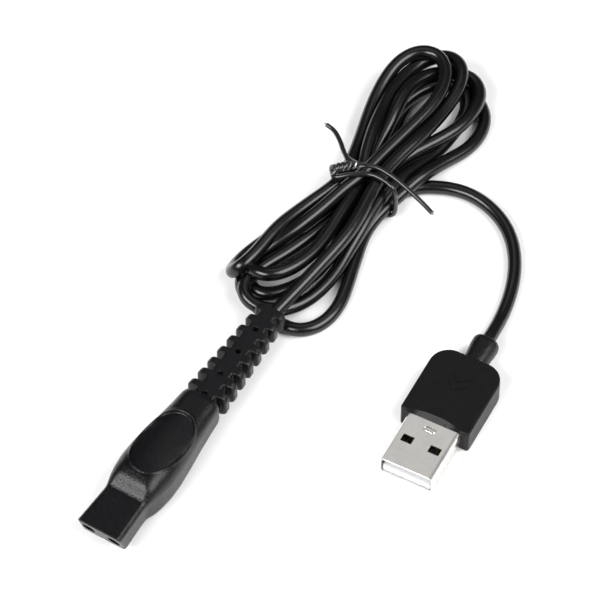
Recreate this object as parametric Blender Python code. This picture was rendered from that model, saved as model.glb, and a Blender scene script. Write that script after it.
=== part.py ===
"""USB charging lead for a beard trimmer, hanked and tied.

A two-pole trimmer connector with a ribbed strain relief lies along +Y with its mouth towards
-Y.  Its cord is wound into a hank, held by a twist tie, and ends in a USB type A plug.
All sizes below are in millimetres.  Meshes are made in metres.
"""
import math

import bmesh
import bpy
from mathutils import Vector

MM = 0.001

# ---- driving dimensions (mm) ----
CORD_DIAMETER = 3.0
CORD_BORE = 3.6
CORE_WIRE_DIAMETER = 1.2
CORE_BORE = 1.7
TIE_DIAMETER = 0.95
TIE_CORE_DIAMETER = 0.42
TIE_BORE = 0.55
TOUCH_GAP = 0.3

# Trimmer connector: axis along +Y at this height above the table.
AXIS_Z = 5.94
MOUTH_Y = -33.3
MOUTH_SLANT = math.radians(18.0)
HOUSING_END_Y = 5.6
RELIEF_TIP_Y = 32.8
SLEEVE_X = 3.05
SLEEVE_DIAMETER = 2.5
SLEEVE_BORE = 1.8
SLEEVE_HOLE = 2.9
CHAMBER_FRONT_Y = -23.0
CHAMBER_REAR_Y = -4.0
CHAMBER_WIDTH = 8.6
CHAMBER_HEIGHT = 4.4
RELIEF_SEAT_DIAMETER = 6.0

# Housing outline along the axis: y, half width, half height, corner radius.
HOUSING_STATIONS = (
    (MOUTH_Y, 5.20, 3.20, 1.1),
    (-23.2, 4.85, 3.10, 1.2),
    (-22.4, 5.05, 3.60, 1.6),
    (-20.6, 5.50, 5.05, 2.8),
    (-18.6, 5.95, 5.70, 3.7),
    (-15.5, 6.30, 5.93, 4.2),
    (-12.0, 6.20, 5.93, 4.2),
    (-8.0, 5.80, 5.68, 4.0),
    (-3.5, 5.25, 5.15, 3.6),
    (1.0, 4.80, 4.60, 3.1),
    (4.9, 4.45, 4.15, 2.5),
    (HOUSING_END_Y, 4.00, 3.75, 2.2),
)
THUMB_Y = -9.4
THUMB_HALF_LENGTH = 9.3
THUMB_HALF_WIDTH = 5.0
THUMB_DEPTH = 0.35
THUMB_CUTTER_HEIGHTS = (3.2, 9.0)
CUT_OVERRUN = 1.0
CARRIER_LENGTH = 5.5
SLEEVE_SET_BACK = 2.6
SLEEVE_REACH = 6.2
KEY_NOTCH_HALF_WIDTH = 1.3
KEY_NOTCH_DEPTH = 1.0
KEY_NOTCH_LENGTH = 8.0

# Strain relief: a bored core with ribs on both sides.
RIB_COUNT = 8
RIB_FIRST_Y = 7.9
RIB_PITCH = 3.4
RIB_THICKNESS = 2.0
RIB_ROUNDING = ((0.0, 0.75), (0.2, 0.3), (0.55, 0.0))
RIB_HALF_WIDTH = (4.85, 3.35)
RIB_ROUNDNESS = 0.62
RELIEF_HALF_HEIGHT = (2.95, 2.25)
SPINE_STEP = 0.12
CORE_EDGE_RADIUS = 1.0
CORE_HALF_WIDTH = (2.55, 2.15)
VENT_DIAMETER = 1.1
VENT_DEPTH = 0.9
VENT_OVERRUN = 0.6
SEAT_LENGTH = 7.0

# Each core wire in the connector: x on the right-hand side, y from the chamber's front.
PLUG_WIRE_ROUTE = ((SLEEVE_X, 6.5), (2.6, 8.5), (1.6, 12.0), (1.0, 15.5), (0.95, 19.1))
# Inner mould of the connector: y from the chamber's front, half width, half height.
PLUG_MOULD_STATIONS = ((7.6, 3.9, 1.9), (10.6, 3.6, 1.9), (18.1, 2.4, 1.7))
MOULD_EDGE_RADIUS = 0.6

# USB plug, in its own frame: x across, y from the shell's tip towards the cord, z up.
USB_TIP = (43.81, 14.33, 0.0)
USB_TURN = math.radians(4.3)
USB_AXIS_Z = 3.1
SHELL_WIDTH = 12.0
SHELL_HEIGHT = 4.5
SHELL_WALL = 0.3
SHELL_RADIUS = 0.6
SHELL_LENGTH = 20.0
SHELL_EXPOSED = 12.9
WINDOW_CENTRE = (3.13, 6.8)
WINDOW_SIZE = (2.5, 1.85)
DIMPLE_Y = 10.87
DIMPLE_SIZE = (2.6, 1.3)
DIMPLE_DEPTH = 0.12
TONGUE_WIDTH = 11.1
TONGUE_HEIGHT = 1.9
TONGUE_LENGTH = 18.4
OVERMOULD_WIDTH = 15.8
OVERMOULD_HEIGHT = 6.2
OVERMOULD_REAR_Y = 31.0
OVERMOULD_REAR_RADIUS = 4.4
OVERMOULD_EDGE = 0.3
SCOOP_DEPTH = 1.7
SCOOP_HALF_WIDTH = 6.0
CONTACT_WIDTH = 1.0
CONTACT_THICKNESS = 0.25
CONTACT_PITCHES = (("vbus", -3.5), ("data_minus", -1.0), ("data_plus", 1.0), ("ground", 3.5))
CONTACT_START = {"vbus": 1.2, "data_minus": 2.2, "data_plus": 2.2, "ground": 1.2}
CONTACT_END = 18.2
GROMMET_WIDTH = 5.8
GROMMET_HEIGHT = 5.0
GROMMET_TIP_Y = 37.8
GROMMET_TANG = 4.4
GROMMET_START_Y = 28.3
# Grommet beyond the overmould: y from its tip, how much narrower, how much lower.
GROMMET_TAPER = ((-1.6, 0.1, 0.06), (-0.5, 0.5, 0.3), (0.0, 1.1, 0.66))
GROMMET_EDGE_RADIUS = 2.2
# Each core wire in the USB plug: x on the right-hand side, y.
USB_WIRE_ROUTE = ((3.5, 18.8), (3.1, 20.6), (1.6, 23.4), (0.95, 25.6), (0.95, 27.4))
# Inner mould of the USB plug: y, width, height.
USB_MOULD_STATIONS = ((20.3, 10.6, 3.8), (23.3, 8.6, 3.8), (27.0, 5.6, 3.4))
POCKET_END_Y = 27.6
GROMMET_SEAT_Y = 26.6

# Route of the cord from the trimmer connector onto the hank (mm).
TRIMMER_ROUTE = (
    (0.0, -3.0, AXIS_Z),
    (0.0, 6.0, AXIS_Z),
    (0.0, 15.0, AXIS_Z),
    (0.0, 24.0, AXIS_Z),
    (0.0, 30.0, AXIS_Z),
    (0.2, 33.6, AXIS_Z),
    (0.5, 36.4, AXIS_Z),
)
# Route of the cord from the hank to the USB plug (mm).
USB_ROUTE = (
    (8.9, 81.7, 1.55),
    (12.0, 83.5, 1.55),
    (15.9, 84.7, 1.55),
    (20.4, 84.6, 1.55),
    (25.8, 82.9, 1.55),
    (30.6, 79.6, 1.55),
    (34.5, 74.8, 1.55),
    (37.3, 69.2, 1.55),
    (39.0, 63.8, 1.55),
    (39.9, 59.2, 1.9),
    (40.5, 55.4, 2.6),
    (40.9, 51.7, 3.05),
    (41.35, 47.0, USB_AXIS_Z),
    (41.7, 42.7, USB_AXIS_Z),
)
ROUTE_STEP = 7.0
CORE_WIRE_STEP = 1.5

# Outer shape of the hank: y, left x, right x, bottom z, top z.
HANK_STATIONS = (
    (31.8, -8.0, 3.0, 0.0, 2.9),
    (33.0, -10.8, 6.8, 0.0, 3.0),
    (35.0, -11.0, 8.8, 0.0, 3.1),
    (37.2, -11.6, 10.0, 0.0, 3.2),
    (38.2, -14.0, 10.3, 0.0, 8.8),
    (41.2, -13.5, 10.6, 0.0, 9.1),
    (46.0, -12.2, 10.4, 0.0, 9.3),
    (52.0, -10.6, 9.3, 0.0, 9.4),
    (58.0, -8.9, 7.6, 0.3, 9.4),
    (63.0, -7.6, 6.3, 0.9, 9.3),
    (67.0, -6.6, 5.4, 1.4, 9.2),
    (74.0, -6.4, 5.3, 1.4, 9.2),
    (78.0, -7.2, 5.8, 0.9, 9.3),
    (84.0, -9.4, 7.6, 0.3, 9.5),
    (90.0, -11.4, 9.9, 0.0, 9.6),
    (96.0, -13.2, 11.5, 0.0, 9.6),
    (102.0, -13.9, 11.9, 0.0, 9.4),
    (106.5, -13.2, 10.6, 0.0, 9.2),
    (110.0, -11.2, 7.6, 0.0, 8.6),
    (112.2, -8.0, 3.6, 0.0, 7.6),
    (113.3, -5.6, 0.6, 0.0, 6.6),
)
HANK_EDGE_RADIUS = 1.4

# Twist tie (mm): the ring round the hank, then a twisted pair that ends in two free tails.
TIE_LEFT_TAIL = (
    (-15.9, 79.0, 10.0),
    (-13.2, 78.4, 10.0),
    (-10.7, 76.7, 10.1),
    (-8.4, 74.5, 10.4),
    (-5.9, 73.2, 10.9),
)
TIE_RIGHT_TAIL = (
    (-0.4, 73.6, 11.4),
    (3.8, 73.9, 10.8),
    (8.2, 73.0, 10.5),
    (13.0, 71.6, 10.2),
    (16.8, 70.2, 10.0),
)
TIE_RING = (
    (-8.2, 69.3, 10.2),
    (-8.0, 70.0, 6.2),
    (-7.5, 70.5, 2.1),
    (-5.6, 70.8, 0.62),
    (-2.0, 70.8, 0.6),
    (1.5, 70.8, 0.6),
    (4.4, 70.9, 0.62),
    (6.4, 71.2, 2.1),
    (6.6, 71.5, 5.6),
    (5.6, 72.0, 9.35),
    (2.4, 72.5, 10.05),
    (-0.8, 72.1, 10.05),
    (-4.0, 69.9, 10.0),
    (-5.9, 67.9, 10.1),
    (-6.8, 67.3, 10.7),
)
TWIST_START = Vector((-6.5, 68.8, 11.5))
TWIST_END = Vector((-3.2, 72.3, 11.5))
TWIST_TURNS = 2
TWIST_RADIUS = 0.62
TWIST_POINTS_PER_TURN = 8
TIE_STEP = 1.8


# ---- helpers ----
def clear_scene():
    for item in list(bpy.data.objects):
        bpy.data.objects.remove(item, do_unlink=True)


def make_material(name, colour, roughness, metallic=0.0):
    material = bpy.data.materials.new(name)
    material.use_nodes = True
    shader = material.node_tree.nodes["Principled BSDF"]
    shader.inputs["Base Color"].default_value = (*colour, 1.0)
    shader.inputs["Roughness"].default_value = roughness
    shader.inputs["Metallic"].default_value = metallic
    return material


def add_object(name, data, material, parent=None):
    item = bpy.data.objects.new(name, data)
    bpy.context.scene.collection.objects.link(item)
    if material is not None:
        data.materials.append(material)
    item.parent = parent
    return item


def add_solid(name, vertices, faces, material, parent=None):
    """A closed mesh from points in millimetres, with its faces turned outwards."""
    mesh = bpy.data.meshes.new(name)
    mesh.from_pydata([Vector(v) * MM for v in vertices], [], faces)
    build = bmesh.new()
    build.from_mesh(mesh)
    bmesh.ops.recalc_face_normals(build, faces=build.faces)
    build.to_mesh(mesh)
    build.free()
    mesh.shade_smooth()
    mesh.set_sharp_from_angle(angle=math.radians(35.0))
    return add_object(name, mesh, material, parent)


def ring_faces(first, second, count):
    """Quads between two rings of points whose numbers start at first and at second."""
    return [
        (first + k, first + (k + 1) % count, second + (k + 1) % count, second + k)
        for k in range(count)
    ]


def add_loft(name, rings, material, parent=None):
    """A solid through a row of rings, closed by a flat face at each end."""
    count = len(rings[0])
    vertices = [point for ring in rings for point in ring]
    faces = [tuple(range(count))]
    for k in range(len(rings) - 1):
        faces += ring_faces(k * count, (k + 1) * count, count)
    last = (len(rings) - 1) * count
    faces.append(tuple(range(last, last + count)))
    return add_solid(name, vertices, faces, material, parent)


def add_sleeve(name, outer, inner, material, parent=None):
    """A bored solid: an outer and an inner row of rings, joined by a flat rim at each end."""
    count = len(outer[0])
    rings = outer + inner[::-1]
    vertices = [point for ring in rings for point in ring]
    faces = []
    for k in range(len(rings)):
        faces += ring_faces(k * count, (k + 1) % len(rings) * count, count)
    return add_solid(name, vertices, faces, material, parent)


def section(y, half_width, half_height, radius, centre=(0.0, AXIS_Z), per_corner=6, lean=0.0):
    """A rounded rectangle across the Y axis.  lean moves its lower points along +Y."""
    points = []
    for corner in range(4):
        sign_x = (1, -1, -1, 1)[corner]
        sign_z = (1, 1, -1, -1)[corner]
        for step in range(per_corner):
            angle = math.radians(90.0 * (corner + step / (per_corner - 1)))
            x = sign_x * (half_width - radius) + radius * math.cos(angle)
            z = sign_z * (half_height - radius) + radius * math.sin(angle)
            shift = (half_height - z) * math.tan(lean)
            points.append((centre[0] + x, y + shift, centre[1] + z))
    return points


def circle(y, diameter, centre=(0.0, AXIS_Z), count=24):
    """A round ring across the Y axis, started at the same angle as section()."""
    radius = diameter / 2
    return [
        (
            centre[0] + radius * math.cos(2 * math.pi * k / count),
            y,
            centre[1] + radius * math.sin(2 * math.pi * k / count),
        )
        for k in range(count)
    ]


def add_rod(name, start_y, end_y, diameter, centre, material, parent=None, count=24):
    rings = [circle(y, diameter, centre, count) for y in (start_y, end_y)]
    return add_loft(name, rings, material, parent)


def add_box(name, low, high, material, parent=None):
    centre = ((low[0] + high[0]) / 2, (low[2] + high[2]) / 2)
    size = ((high[0] - low[0]) / 2, (high[2] - low[2]) / 2)
    rings = [
        [
            (centre[0] + sx * size[0], y, centre[1] + sz * size[1])
            for sx, sz in ((1, 1), (-1, 1), (-1, -1), (1, -1))
        ]
        for y in (low[1], high[1])
    ]
    return add_loft(name, rings, material, parent)


def combine(item, tool, operation="DIFFERENCE"):
    """Cuts item with tool, which becomes a hidden guide."""
    modifier = item.modifiers.new(tool.name, "BOOLEAN")
    modifier.operation = operation
    modifier.object = tool
    modifier.solver = "EXACT"
    tool.hide_render = True
    tool.display_type = "WIRE"


def spline_point(p0, p1, p2, p3, t):
    """Catmull-Rom curve between p1 and p2."""
    return 0.5 * (
        2 * p1
        + (p2 - p0) * t
        + (2 * p0 - 5 * p1 + 4 * p2 - p3) * t * t
        + (3 * p1 - p0 - 3 * p2 + p3) * t * t * t
    )


def smooth_route(points, step):
    """Points about step apart on a smooth curve through the given points."""
    points = [Vector(p) for p in points]
    padded = [2 * points[0] - points[1]] + points + [2 * points[-1] - points[-2]]
    fine = []
    for k in range(len(points) - 1):
        for j in range(20):
            fine.append(spline_point(*padded[k : k + 4], j / 20))
    fine.append(points[-1])
    lengths = [0.0]
    for a, b in zip(fine, fine[1:]):
        lengths.append(lengths[-1] + (b - a).length)
    count = max(2, round(lengths[-1] / step))
    route = []
    place = 0
    for k in range(count + 1):
        wanted = lengths[-1] * k / count
        while place < len(fine) - 2 and lengths[place + 1] < wanted:
            place += 1
        share = (wanted - lengths[place]) / (lengths[place + 1] - lengths[place])
        route.append(fine[place].lerp(fine[place + 1], share))
    return route


def add_tube(name, route, diameter, material, parent=None, sides=2):
    """A round bar along a route of points in millimetres, with filled ends."""
    curve = bpy.data.curves.new(name, "CURVE")
    curve.dimensions = "3D"
    curve.bevel_depth = diameter / 2 * MM
    curve.bevel_resolution = sides
    curve.use_fill_caps = True
    curve.resolution_u = 1
    curve.render_resolution_u = 0
    spline = curve.splines.new("POLY")
    spline.points.add(len(route) - 1)
    for point, place in zip(spline.points, route):
        point.co = (*(Vector(place) * MM), 1.0)
    return add_object(name, curve, material, parent)


def blend_value(pair, share):
    return pair[0] + (pair[1] - pair[0]) * share


# ---- trimmer connector ----
def housing_rings(inset=0.0):
    rings = []
    for y, half_width, half_height, radius in HOUSING_STATIONS:
        lean = MOUTH_SLANT if y == MOUTH_Y else 0.0
        rings.append(
            section(y, half_width - inset, half_height - inset, radius - inset, lean=lean)
        )
    return rings


def add_thumb_cutter(side):
    """The thumb recess: an oval prism less the housing's own shape, made a little smaller."""
    count = 40
    rings = []
    for height in THUMB_CUTTER_HEIGHTS:
        z = AXIS_Z + side * height
        rings.append(
            [
                (
                    THUMB_HALF_WIDTH * math.cos(2 * math.pi * k / count),
                    THUMB_Y + THUMB_HALF_LENGTH * math.sin(2 * math.pi * k / count),
                    z,
                )
                for k in range(count)
            ]
        )
    label = "top" if side > 0 else "bottom"
    prism = add_loft(f"cutter_thumb_{label}", rings, None)
    core = add_loft(f"cutter_thumb_floor_{label}", housing_rings(THUMB_DEPTH), None)
    combine(prism, core)
    return prism


def make_plug_housing(material):
    housing = add_loft("plug_housing", housing_rings(), material)
    for side in (1, -1):
        combine(housing, add_thumb_cutter(side))
    for sign, label in ((-1, "left"), (1, "right")):
        centre = (sign * SLEEVE_X, AXIS_Z)
        start, end = MOUTH_Y - CUT_OVERRUN, CHAMBER_FRONT_Y + CUT_OVERRUN
        hole = add_rod(f"cutter_socket_{label}", start, end, SLEEVE_HOLE, centre, None)
        combine(housing, hole)
    chamber = add_box(
        "cutter_chamber",
        (-CHAMBER_WIDTH / 2, CHAMBER_FRONT_Y, AXIS_Z - CHAMBER_HEIGHT / 2),
        (CHAMBER_WIDTH / 2, CHAMBER_REAR_Y, AXIS_Z + CHAMBER_HEIGHT / 2),
        None,
    )
    combine(housing, chamber)
    seat = add_rod(
        "cutter_relief_seat",
        CHAMBER_REAR_Y - CUT_OVERRUN,
        HOUSING_END_Y + CUT_OVERRUN,
        RELIEF_SEAT_DIAMETER,
        (0.0, AXIS_Z),
        None,
        count=32,
    )
    combine(housing, seat)
    floor = AXIS_Z - HOUSING_STATIONS[0][2]
    below = floor - CUT_OVERRUN / 2
    notch = [
        [
            (-KEY_NOTCH_HALF_WIDTH, y, below),
            (KEY_NOTCH_HALF_WIDTH, y, below),
            (0.0, y, floor + KEY_NOTCH_DEPTH),
        ]
        for y in (MOUTH_Y - CUT_OVERRUN, MOUTH_Y + KEY_NOTCH_LENGTH)
    ]
    combine(housing, add_loft("cutter_key_notch", notch, None))
    return housing


def make_contact_carrier(material):
    half_width = CHAMBER_WIDTH / 2 - TOUCH_GAP
    half_height = CHAMBER_HEIGHT / 2 - TOUCH_GAP
    rings = [
        section(y, half_width, half_height, 0.5, per_corner=3)
        for y in (CHAMBER_FRONT_Y + TOUCH_GAP, CHAMBER_FRONT_Y + CARRIER_LENGTH)
    ]
    carrier = add_loft("contact_carrier", rings, material)
    for sign, label in ((-1, "left"), (1, "right")):
        hole = add_rod(
            f"cutter_carrier_{label}",
            CHAMBER_FRONT_Y - CUT_OVERRUN,
            CHAMBER_FRONT_Y + CARRIER_LENGTH + CUT_OVERRUN,
            SLEEVE_HOLE,
            (sign * SLEEVE_X, AXIS_Z),
            None,
            count=16,
        )
        combine(carrier, hole)


def make_contact_sleeves(material):
    start, end = MOUTH_Y + SLEEVE_SET_BACK, CHAMBER_FRONT_Y + SLEEVE_REACH
    for sign, label in ((-1, "left"), (1, "right")):
        centre = (sign * SLEEVE_X, AXIS_Z)
        outer = [circle(y, SLEEVE_DIAMETER, centre, 20) for y in (start, end)]
        inner = [circle(y, SLEEVE_BORE, centre, 20) for y in (start, end)]
        add_sleeve(f"contact_sleeve_{label}", outer, inner, material)


def plug_wire_route(sign):
    """From a contact sleeve's back end inwards to the end of the cord."""
    points = [(sign * x, CHAMBER_FRONT_Y + y, AXIS_Z) for x, y in PLUG_WIRE_ROUTE]
    return smooth_route(points, CORE_WIRE_STEP)


def make_plug_wires(materials):
    for sign, label in ((-1, "positive"), (1, "negative")):
        add_tube(
            f"plug_wire_{label}", plug_wire_route(sign), CORE_WIRE_DIAMETER, materials[label]
        )


def make_plug_inner_mould(material):
    """The block that holds the soldered wires, with a way through for each of them."""
    rings = [
        section(CHAMBER_FRONT_Y + y, half_width, half_height, MOULD_EDGE_RADIUS, per_corner=4)
        for y, half_width, half_height in PLUG_MOULD_STATIONS
    ]
    mould = add_loft("plug_inner_mould", rings, material)
    for sign, label in ((-1, "left"), (1, "right")):
        way = add_tube(f"cutter_wire_{label}", plug_wire_route(sign), CORE_BORE, None)
        combine(mould, as_mesh(way))


def as_mesh(item):
    """The tube's surface as a mesh object, which a Boolean can use as its tool."""
    bpy.context.view_layer.update()
    graph = bpy.context.evaluated_depsgraph_get()
    mesh = bpy.data.meshes.new_from_object(item.evaluated_get(graph))
    name = item.name
    parent = item.parent
    bpy.data.objects.remove(item, do_unlink=True)
    return add_object(name, mesh, None, parent)


def relief_share(y):
    """0 where the ribs start, 1 at the strain relief's tip."""
    return min(1.0, max(0.0, (y - HOUSING_END_Y) / (RELIEF_TIP_Y - HOUSING_END_Y)))


def relief_core(y):
    share = relief_share(y)
    half_width = blend_value(CORE_HALF_WIDTH, share)
    half_height = blend_value(RELIEF_HALF_HEIGHT, share) - SPINE_STEP
    return section(y, half_width, half_height, CORE_EDGE_RADIUS)


def relief_rib(y, inset):
    share = relief_share(y)
    half_width = blend_value(RIB_HALF_WIDTH, share) - inset
    half_height = blend_value(RELIEF_HALF_HEIGHT, share)
    return section(y, half_width, half_height, half_height * RIB_ROUNDNESS)


def relief_outline():
    """Rings from the seat inside the housing, past every rib, to the tip."""
    start = HOUSING_END_Y + TOUCH_GAP
    rings = [circle(start - SEAT_LENGTH, RELIEF_SEAT_DIAMETER - 2 * TOUCH_GAP)]
    rings.append(circle(start, RELIEF_SEAT_DIAMETER - 2 * TOUCH_GAP))
    rings.append(relief_core(start))
    for k in range(RIB_COUNT):
        middle = RIB_FIRST_Y + k * RIB_PITCH
        low = middle - RIB_THICKNESS / 2
        high = min(middle + RIB_THICKNESS / 2, RELIEF_TIP_Y)
        rings.append(relief_core(low))
        rings += [relief_rib(low + step, inset) for step, inset in RIB_ROUNDING]
        rings += [relief_rib(high - step, inset) for step, inset in RIB_ROUNDING[::-1]]
        if k < RIB_COUNT - 1:
            rings.append(relief_core(high))
    return rings


def make_strain_relief(material):
    start = HOUSING_END_Y + TOUCH_GAP - SEAT_LENGTH
    bore = [circle(y, CORD_BORE) for y in (start, RELIEF_TIP_Y)]
    relief = add_sleeve("strain_relief", relief_outline(), bore, material)
    for side in (1, -1):
        for k in range(0, RIB_COUNT, 2):
            y = RIB_FIRST_Y + (k - 0.5) * RIB_PITCH
            surface = blend_value(RELIEF_HALF_HEIGHT, relief_share(y))
            low = AXIS_Z + side * (surface - VENT_DEPTH)
            high = AXIS_Z + side * (surface + VENT_OVERRUN)
            rings = [
                [
                    (
                        VENT_DIAMETER / 2 * math.cos(math.pi * j / 6),
                        y + VENT_DIAMETER / 2 * math.sin(math.pi * j / 6),
                        z,
                    )
                    for j in range(12)
                ]
                for z in (low, high)
            ]
            label = "top" if side > 0 else "bottom"
            combine(relief, add_loft(f"cutter_vent_{label}_{k}", rings, None))


# ---- USB plug ----
def usb_section(y, width, height, radius, centre_z=USB_AXIS_Z, per_corner=5):
    return section(y, width / 2, height / 2, radius, (0.0, centre_z), per_corner)


def obround_prism(name, centre, size, low, high, parent):
    """An upright prism with a flat middle and round ends left and right."""
    radius = size[1] / 2
    reach = size[0] / 2 - radius
    rings = []
    for z in (low, high):
        ring = []
        for sign, first in ((1, -90.0), (-1, 90.0)):
            for step in range(7):
                angle = math.radians(first + 30.0 * step)
                x = centre[0] + sign * reach + radius * math.cos(angle)
                ring.append((x, centre[1] + radius * math.sin(angle), z))
        rings.append(ring)
    return add_loft(name, rings, None, parent)


def make_usb_shell(material, parent):
    inner_width = SHELL_WIDTH - 2 * SHELL_WALL
    inner_height = SHELL_HEIGHT - 2 * SHELL_WALL
    ends = (0.0, SHELL_LENGTH)
    outer = [usb_section(y, SHELL_WIDTH, SHELL_HEIGHT, SHELL_RADIUS) for y in ends]
    inner = [
        usb_section(y, inner_width, inner_height, SHELL_RADIUS - SHELL_WALL) for y in ends
    ]
    shell = add_sleeve("usb_shell", outer, inner, material, parent)
    top = USB_AXIS_Z + SHELL_HEIGHT / 2
    bottom = USB_AXIS_Z - SHELL_HEIGHT / 2
    for sign, label in ((-1, "left"), (1, "right")):
        for level, face in ((top, "top"), (bottom, "bottom")):
            x = sign * WINDOW_CENTRE[0]
            low = (x - WINDOW_SIZE[0] / 2, WINDOW_CENTRE[1] - WINDOW_SIZE[1] / 2, level - 0.5)
            high = (x + WINDOW_SIZE[0] / 2, WINDOW_CENTRE[1] + WINDOW_SIZE[1] / 2, level + 0.5)
            combine(shell, add_box(f"cutter_window_{face}_{label}", low, high, None, parent))
    dimple = obround_prism(
        "cutter_dimple", (0.0, DIMPLE_Y), DIMPLE_SIZE, top - DIMPLE_DEPTH, top + 0.5, parent
    )
    combine(shell, dimple)


def make_usb_tongue(material, parent):
    """The white insulator that carries the contacts in the lower half of the shell."""
    floor = USB_AXIS_Z - SHELL_HEIGHT / 2 + SHELL_WALL + 0.1
    rings = [
        section(
            y, TONGUE_WIDTH / 2 - inset, TONGUE_HEIGHT / 2 - inset, 0.3,
            (0.0, floor + TONGUE_HEIGHT / 2), 3,
        )
        for y, inset in ((0.1, 0.12), (0.3, 0.0), (TONGUE_LENGTH, 0.0))
    ]
    add_loft("usb_tongue", rings, material, parent)
    return floor + TONGUE_HEIGHT


def make_usb_contacts(material, parent, level):
    for label, x in CONTACT_PITCHES:
        low = (x - CONTACT_WIDTH / 2, CONTACT_START[label], level + 0.05)
        high = (x + CONTACT_WIDTH / 2, CONTACT_END, level + 0.05 + CONTACT_THICKNESS)
        add_box(f"usb_contact_{label}", low, high, material, parent)


def usb_wire_route(sign):
    """From behind an outer contact to the end of the cord."""
    points = [(sign * x, y, USB_AXIS_Z) for x, y in USB_WIRE_ROUTE]
    return smooth_route(points, CORE_WIRE_STEP)


def make_usb_wires(materials, parent):
    for sign, label in ((-1, "positive"), (1, "negative")):
        add_tube(
            f"usb_wire_{label}", usb_wire_route(sign), CORE_WIRE_DIAMETER, materials[label], parent
        )


def make_usb_inner_mould(material, parent):
    rings = [
        usb_section(y, width, height, MOULD_EDGE_RADIUS, per_corner=4)
        for y, width, height in USB_MOULD_STATIONS
    ]
    mould = add_loft("usb_inner_mould", rings, material, parent)
    for sign, label in ((-1, "left"), (1, "right")):
        way = add_tube(f"cutter_usb_wire_{label}", usb_wire_route(sign), CORE_BORE, None, parent)
        combine(mould, as_mesh(way))


def overmould_outline(inset):
    """Plan outline: square corners at the shell end, round corners at the cord end."""
    half = OVERMOULD_WIDTH / 2 - inset
    front = SHELL_EXPOSED + inset
    rear = OVERMOULD_REAR_Y - inset
    radius = OVERMOULD_REAR_RADIUS - inset
    outline = []
    for sign, first in ((1, 0.0), (-1, 90.0)):
        for step in range(8):
            angle = math.radians(first + 90.0 * step / 7)
            x = sign * (half - radius) + radius * math.cos(angle)
            outline.append((x, rear - radius + radius * math.sin(angle)))
    return outline + [(-half, front), (half, front)]


def make_usb_overmould(material, parent):
    levels = (
        (0.0, OVERMOULD_EDGE),
        (OVERMOULD_EDGE, 0.0),
        (OVERMOULD_HEIGHT - OVERMOULD_EDGE, 0.0),
        (OVERMOULD_HEIGHT, OVERMOULD_EDGE),
    )
    rings = [[(x, y, z) for x, y in overmould_outline(inset)] for z, inset in levels]
    overmould = add_loft("usb_overmould", rings, material, parent)
    gap = 2 * TOUCH_GAP
    pocket = [
        usb_section(y, SHELL_WIDTH + gap, SHELL_HEIGHT + gap, SHELL_RADIUS + TOUCH_GAP)
        for y in (SHELL_EXPOSED - CUT_OVERRUN, POCKET_END_Y)
    ]
    combine(overmould, add_loft("cutter_shell_pocket", pocket, None, parent))
    tang = add_rod(
        "cutter_grommet_seat",
        GROMMET_SEAT_Y,
        OVERMOULD_REAR_Y + CUT_OVERRUN,
        GROMMET_TANG + gap,
        (0.0, USB_AXIS_Z),
        None,
        parent,
    )
    combine(overmould, tang)
    for side, label in ((1, "top"), (-1, "bottom")):
        combine(overmould, add_scoop(side, label, parent))


def add_scoop(side, label, parent):
    """An arched bevel in the front edge, deepest in the middle."""
    shell_face = USB_AXIS_Z + side * (SHELL_HEIGHT / 2 + TOUCH_GAP)
    outer_face = USB_AXIS_Z + side * (OVERMOULD_HEIGHT / 2)
    overrun = side * 1.0
    rings = []
    steps = 12
    for k in range(steps + 1):
        x = SCOOP_HALF_WIDTH * (2 * k / steps - 1)
        depth = SCOOP_DEPTH * (1 - (x / SCOOP_HALF_WIDTH) ** 2) + 0.02
        slope = depth / (outer_face - shell_face)
        front = SHELL_EXPOSED
        rings.append(
            [
                (x, front - 1.0, shell_face),
                (x, front, shell_face),
                (x, front + slope * (outer_face + overrun - shell_face), outer_face + overrun),
                (x, front - 1.0, outer_face + overrun),
            ]
        )
    return add_loft(f"cutter_scoop_{label}", rings, None, parent)


def make_usb_cord_grommet(material, parent):
    tang = GROMMET_TANG
    neck = OVERMOULD_REAR_Y + TOUCH_GAP
    outer = [circle(y, tang, (0.0, USB_AXIS_Z)) for y in (GROMMET_START_Y, neck)]
    sizes = [(neck, GROMMET_WIDTH, GROMMET_HEIGHT)]
    for y, narrower, lower in GROMMET_TAPER:
        sizes.append((GROMMET_TIP_Y + y, GROMMET_WIDTH - narrower, GROMMET_HEIGHT - lower))
    for y, width, height in sizes:
        radius = min(GROMMET_EDGE_RADIUS, height / 2.2)
        outer.append(usb_section(y, width, height, radius, per_corner=6))
    inner = [circle(y, CORD_BORE, (0.0, USB_AXIS_Z)) for y in (GROMMET_START_Y, GROMMET_TIP_Y)]
    add_sleeve("usb_cord_grommet", outer, inner, material, parent)


# ---- cord, hank and tie ----
def make_cord(material):
    trimmer_end = smooth_route(TRIMMER_ROUTE, ROUTE_STEP)
    usb_end = smooth_route(USB_ROUTE, ROUTE_STEP)
    add_tube("cord_trimmer_end", trimmer_end, CORD_DIAMETER, material)
    add_tube("cord_usb_end", usb_end, CORD_DIAMETER, material)
    rings = []
    for y, left, right, bottom, top in HANK_STATIONS:
        radius = min(HANK_EDGE_RADIUS, (top - bottom) * 0.45)
        centre = ((left + right) / 2, (bottom + top) / 2)
        rings.append(
            section(y, (right - left) / 2, (top - bottom) / 2, radius, centre, per_corner=4)
        )
    add_loft("cord_hank", rings, material)


def twist_strand(phase):
    """One of the two wires of the twisted pair, from the ring to the tails."""
    axis = TWIST_END - TWIST_START
    across = axis.cross(Vector((0.0, 0.0, 1.0))).normalized()
    upward = across.cross(axis).normalized()
    steps = TWIST_TURNS * TWIST_POINTS_PER_TURN
    strand = []
    for k in range(steps + 1):
        angle = phase + 2 * math.pi * TWIST_TURNS * k / steps
        offset = across * math.cos(angle) + upward * math.sin(angle)
        strand.append(TWIST_START + axis * (k / steps) + offset * TWIST_RADIUS)
    return strand


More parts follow.
